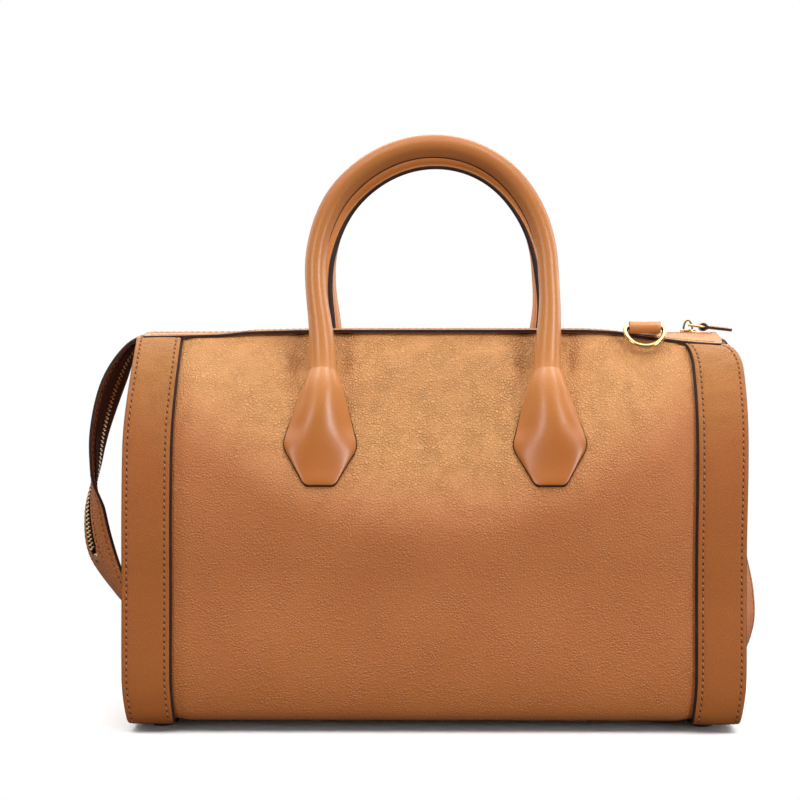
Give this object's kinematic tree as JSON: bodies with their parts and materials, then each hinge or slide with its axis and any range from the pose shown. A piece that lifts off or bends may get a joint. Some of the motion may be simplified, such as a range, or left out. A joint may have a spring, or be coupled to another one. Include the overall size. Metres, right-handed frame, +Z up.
{
  "type": "bowling bag",
  "caption": "Barrel-shaped grained leather bag with raised end bands, a zip mouth that runs on as tails down the ends, rolled handles on sewn tabs, a D-ring and metal feet.",
  "frame": {"origin": "on the floor under the feet, below the middle of the whole outline, zip tails included", "axes": "+X along the bag towards the zip pull, +Z up, the front wall with the D-ring faces -Y"},
  "size_m": [0.4, 0.1596, 0.338],
  "materials": {
    "grain_leather": "pebble-grained tan leather, soft sheen",
    "smooth_leather": "smooth tan leather with dark painted edges",
    "lining_cloth": "dark brown woven lining",
    "shaper_board": "dark covered fibre board",
    "handle_rope": "natural twisted cord",
    "zip_tape": "dark brown woven tape",
    "gold_metal": "polished gold-coloured metal",
    "foot_lacquer": "dark brown lacquer"
  },
  "bodies": {
    "bag": {"front_panel": "grain_leather", "back_panel": "grain_leather", "left_end_panel": "grain_leather", "right_end_panel": "grain_leather", "left_zip_tail": "grain_leather", "right_zip_tail": "grain_leather", "base_panel": "smooth_leather", "left_band": "smooth_leather", "right_band": "smooth_leather", "d_ring_tab": "smooth_leather", "front_left_handle_tab": "smooth_leather", "front_right_handle_tab": "smooth_leather", "back_left_handle_tab": "smooth_leather", "back_right_handle_tab": "smooth_leather", "lining": "lining_cloth", "base_shaper": "shaper_board", "left_zip_tape": "zip_tape", "right_zip_tape": "zip_tape", "left_zip_teeth": "gold_metal", "right_zip_teeth": "gold_metal", "left_zip_stop": "gold_metal", "right_zip_stop": "gold_metal", "front_left_foot": "foot_lacquer", "front_right_foot": "foot_lacquer", "back_left_foot": "foot_lacquer", "back_right_foot": "foot_lacquer"},
    "front_flap": {"front_zip_strip": "grain_leather", "front_zip_tape": "zip_tape", "front_zip_teeth": "gold_metal"},
    "back_flap": {"back_zip_strip": "grain_leather", "back_zip_tape": "zip_tape", "back_zip_teeth": "gold_metal"},
    "front_handle": {"front_handle_cover": "smooth_leather", "front_handle_core": "handle_rope"},
    "back_handle": {"back_handle_cover": "smooth_leather", "back_handle_core": "handle_rope"},
    "slider": {"zip_slider": "gold_metal", "slider_lower_plate": "gold_metal"},
    "pull": {"pull_link": "gold_metal", "pull_tab": "smooth_leather"},
    "ring": {"d_ring": "gold_metal"}
  },
  "joints": [
    {"name": "front_flap_fold", "type": "hinge", "parent": "bag", "child": "front_flap", "pos_m": [0.01153, -0.034, 0.22551], "axis": [1, 0, 0], "range_deg": [0, 75]},
    {"name": "back_flap_fold", "type": "hinge", "parent": "bag", "child": "back_flap", "pos_m": [0.01153, 0.034, 0.22551], "axis": [-1, 0, 0], "range_deg": [0, 75]},
    {"name": "front_handle_swing", "type": "hinge", "parent": "bag", "child": "front_handle", "pos_m": [0.01153, -0.06964, 0.20653], "axis": [1, 0, 0], "range_deg": [0, 60]},
    {"name": "back_handle_swing", "type": "hinge", "parent": "bag", "child": "back_handle", "pos_m": [0.01153, 0.06964, 0.20653], "axis": [-1, 0, 0], "range_deg": [0, 60]},
    {"name": "zip_travel", "type": "slide", "parent": "bag", "child": "slider", "axis": [-1, 0, 0], "range_m": [0, 0.302]},
    {"name": "pull_lift", "type": "hinge", "parent": "slider", "child": "pull", "pos_m": [0.16453, 0, 0.22971], "axis": [0, -1, 0], "range_deg": [0, 150]},
    {"name": "ring_swing", "type": "hinge", "parent": "bag", "child": "ring", "pos_m": [0.13403, -0.03795, 0.22894], "axis": [-1, 0, 0], "range_deg": [0, 180]}
  ]
}
